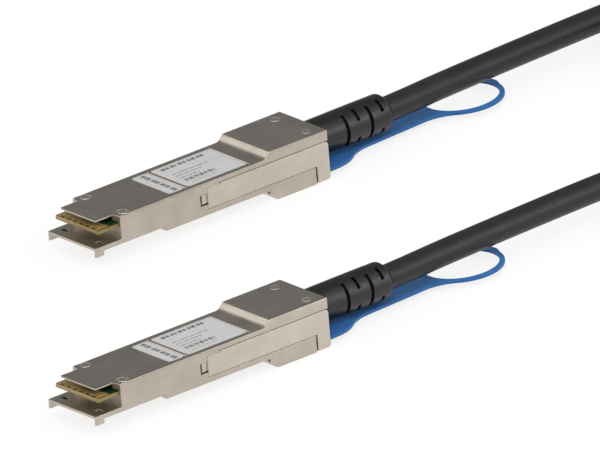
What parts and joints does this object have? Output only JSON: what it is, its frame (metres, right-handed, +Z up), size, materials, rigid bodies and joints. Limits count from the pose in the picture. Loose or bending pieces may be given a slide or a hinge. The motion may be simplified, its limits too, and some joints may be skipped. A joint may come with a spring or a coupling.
{
  "type": "direct attach copper cable",
  "caption": "Round copper network cable with a metal pluggable module at each end, each with a slotted boot and a soft pull tab that draws back a sprung latch slider.",
  "frame": {"origin": "midway between the two plugs with their slider and tab, on the surface they rest on", "axes": "+X from the plugs' noses towards the cable, +Z up, +Y from plug b to plug a"},
  "size_m": [0.3217, 0.107, 0.0133],
  "materials": {
    "cast_housing": "nickel plated, satin",
    "rivet_steel": "satin",
    "circuit_board": "solder mask",
    "gold_contact": "hard gold",
    "chip_body": "moulded",
    "ceramic_chip": "ceramic",
    "pair_shield": "foil",
    "moulding": "moulded",
    "ferrule_brass": "plain",
    "cable_jacket": "satin",
    "boot_plastic": "moulded",
    "slider_steel": "nickel plated",
    "spring_steel": "plain",
    "tab_plastic": "soft moulded",
    "label_paper": "matt"
  },
  "bodies": {
    "cable_and_plugs": {"a_bottom_shell": "cast_housing", "a_top_cover": "cast_housing", "a_paddle_card": "circuit_board", "a_contact_pads": "gold_contact", "a_memory_chip": "chip_body", "a_chip_capacitors": "ceramic_chip", "a_twinax_pairs": "pair_shield", "a_wire_block": "moulding", "a_crimp_ferrule": "ferrule_brass", "a_jacket_end": "cable_jacket", "a_strain_boot": "boot_plastic", "a_return_springs": "spring_steel", "a_large_label": "label_paper", "a_small_label": "label_paper", "b_bottom_shell": "cast_housing", "b_top_cover": "cast_housing", "b_paddle_card": "circuit_board", "b_contact_pads": "gold_contact", "b_memory_chip": "chip_body", "b_chip_capacitors": "ceramic_chip", "b_twinax_pairs": "pair_shield", "b_wire_block": "moulding", "b_crimp_ferrule": "ferrule_brass", "b_jacket_end": "cable_jacket", "b_strain_boot": "boot_plastic", "b_return_springs": "spring_steel", "b_large_label": "label_paper", "b_small_label": "label_paper", "cable_run_a": "cable_jacket", "cable_coil": "cable_jacket", "cable_run_b": "cable_jacket"},
    "a_release": {"a_release_slider": "slider_steel", "a_pull_tab": "tab_plastic", "a_tab_rivets": "rivet_steel"},
    "b_release": {"b_release_slider": "slider_steel", "b_pull_tab": "tab_plastic", "b_tab_rivets": "rivet_steel"}
  },
  "joints": [
    {"name": "a_release_slide", "type": "slide", "parent": "cable_and_plugs", "child": "a_release", "axis": [1, 0, 0], "range_m": [0, 0.002], "stiffness_N_per_m": 1500, "springref_m": -0.002, "deforming": ["a_return_springs"]},
    {"name": "b_release_slide", "type": "slide", "parent": "cable_and_plugs", "child": "b_release", "axis": [1, 0, 0], "range_m": [0, 0.002], "stiffness_N_per_m": 1500, "springref_m": -0.002, "deforming": ["b_return_springs"]}
  ]
}
